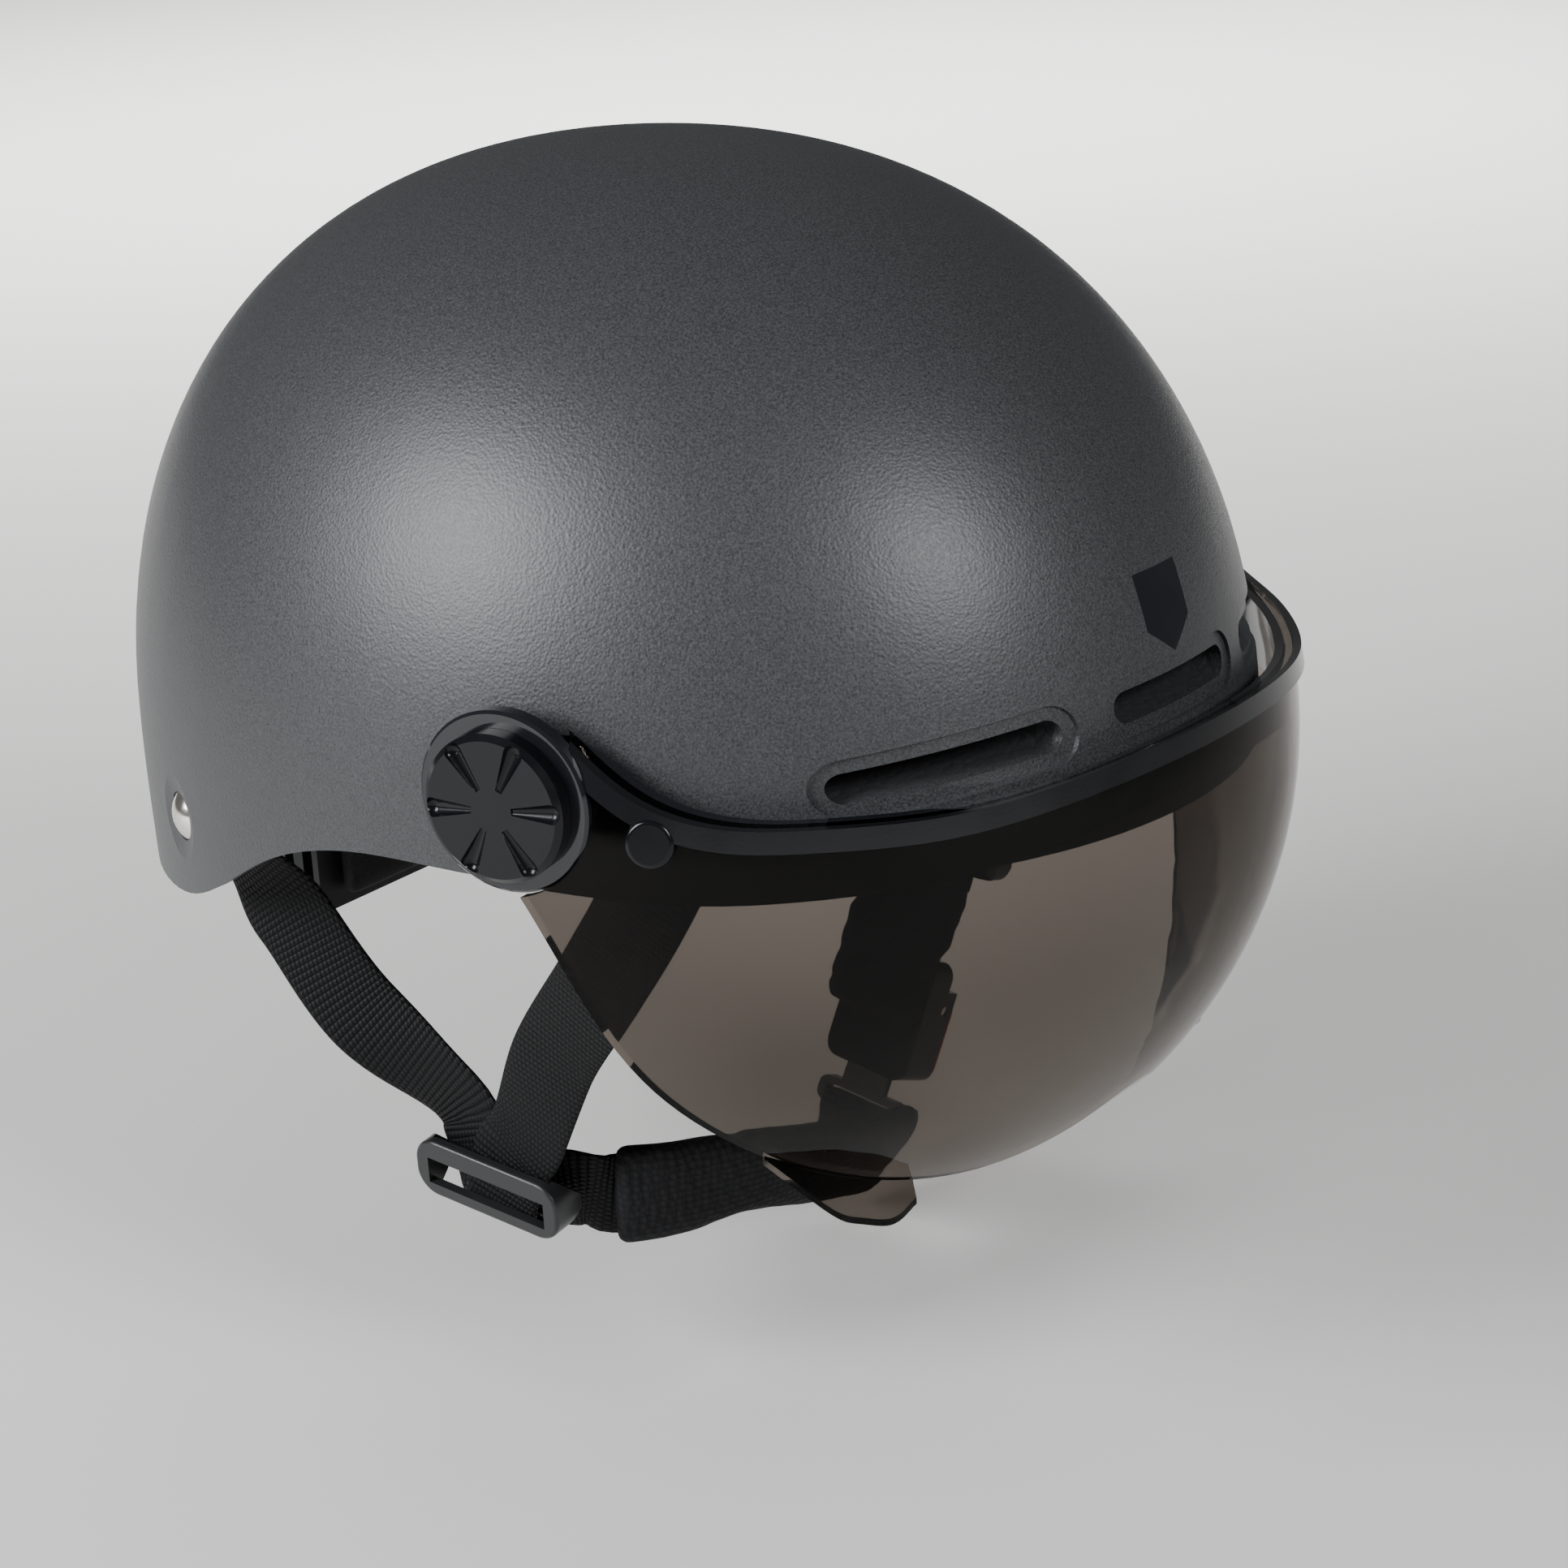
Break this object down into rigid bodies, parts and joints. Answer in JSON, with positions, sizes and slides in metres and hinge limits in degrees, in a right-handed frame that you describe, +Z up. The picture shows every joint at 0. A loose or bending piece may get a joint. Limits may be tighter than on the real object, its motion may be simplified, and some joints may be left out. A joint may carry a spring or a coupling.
{
  "type": "cycling helmet",
  "caption": "Deep-shell cycling helmet with brow vents, a swinging smoked visor on lock knobs, Y-straps, padded chin strap with ratchet buckle and a dial-adjusted head ring.",
  "frame": {"origin": "the crown of the wearer's head, where it meets the crown pad inside the helmet", "axes": "+Z up out of the crown, -Y towards the front of the helmet, -X towards the wearer's right"},
  "size_m": [0.2378, 0.2829, 0.2757],
  "materials": {
    "shell_graphite": "matte graphite with a fine leather-like grain and a metallic fleck",
    "foam_black": "moulded foam with a bead pattern",
    "badge_black": "gloss black inlay",
    "pad_cloth": "soft brushed cloth over foam",
    "rivet_steel": "polished",
    "screw_steel": "zinc plated",
    "black_plastic": "satin black moulding",
    "rim_rubber": "satin black soft edging",
    "lens_smoke": "smoked clear plastic, polished",
    "visor_black": "gloss black",
    "knob_black": "satin black",
    "web_black": "black woven webbing",
    "divider_grey": "dark grey moulding",
    "sleeve_mesh": "black spacer mesh",
    "buckle_gloss": "gloss black",
    "lever_red": "red",
    "spring_steel": "bare wire"
  },
  "bodies": {
    "helmet": {"outer_shell": "shell_graphite", "foam_liner": "foam_black", "front_badge": "badge_black", "pad_brow": "pad_cloth", "pad_crown": "pad_cloth", "pad_right": "pad_cloth", "pad_left": "pad_cloth", "pad_back": "pad_cloth", "strap_rivets": "rivet_steel", "strap_washers": "screw_steel", "pivot_bases": "black_plastic", "pivot_inserts": "black_plastic", "pivot_screws": "screw_steel", "friction_washers": "rim_rubber", "ring_housing": "black_plastic", "ring_cover": "black_plastic", "pad_nape": "pad_cloth", "strap_rear_right": "web_black", "strap_front_right": "web_black", "strap_rear_left": "web_black", "strap_front_left": "web_black", "divider_right": "divider_grey", "divider_left": "divider_grey", "chin_strap": "web_black", "chin_pad": "sleeve_mesh", "strap_buckle": "web_black", "buckle_pad": "pad_cloth", "buckle_body": "buckle_gloss", "buckle_pin": "rivet_steel", "buckle_spring": "spring_steel"},
    "visor": {"visor_lens": "lens_smoke", "visor_frame": "visor_black", "visor_rim": "rim_rubber", "visor_studs": "visor_black"},
    "knob_r": {"knob_right": "knob_black"},
    "knob_l": {"knob_left": "knob_black"},
    "dial": {"dial_knob": "black_plastic", "dial_pinion": "black_plastic"},
    "band_r": {"band_right": "black_plastic"},
    "band_l": {"band_left": "black_plastic"},
    "lever": {"buckle_lever": "lever_red"},
    "tongue": {"buckle_tongue": "black_plastic", "tongue_loop": "web_black"}
  },
  "joints": [
    {"name": "visor_swing", "type": "hinge", "parent": "helmet", "child": "visor", "pos_m": [0, -0.051, -0.0737], "axis": [-1, 0, 0], "range_deg": [0, 50]},
    {"name": "knob_right_turn", "type": "hinge", "parent": "visor", "child": "knob_r", "pos_m": [-0.1075, -0.051, -0.0737], "axis": [-0.9763, -0.2164, 0], "range_deg": [0, 60]},
    {"name": "knob_left_turn", "type": "hinge", "parent": "visor", "child": "knob_l", "pos_m": [0.1075, -0.051, -0.0737], "axis": [0.9763, -0.2164, 0], "range_deg": [-60, 0]},
    {"name": "dial_turn", "type": "hinge", "parent": "helmet", "child": "dial", "pos_m": [0, 0.1, -0.1477], "axis": [0, 1, 0], "range_deg": [0, 114.59]},
    {"name": "band_right_slide", "type": "slide", "parent": "helmet", "child": "band_r", "axis": [1, 0, 0], "range_m": [0, 0.0101]},
    {"name": "band_left_slide", "type": "slide", "parent": "helmet", "child": "band_l", "axis": [-1, 0, 0], "range_m": [0, 0.0101]},
    {"name": "lever_lift", "type": "hinge", "parent": "helmet", "child": "lever", "pos_m": [0.06807, -0.00993, -0.19497], "axis": [-0.0426, -0.994, -0.1004], "range_deg": [0, 17], "stiffness_Nm_per_rad": 0.06, "springref_deg": -14.32},
    {"name": "tongue_slide", "type": "slide", "parent": "helmet", "child": "tongue", "axis": [0.3913, -0.1091, 0.9138], "range_m": [0, 0.005]}
  ],
  "couplings": [
    {"joint": "band_right_slide", "follows": "dial_turn", "m_per_rad": 0.005},
    {"joint": "band_left_slide", "follows": "dial_turn", "m_per_rad": 0.005}
  ]
}
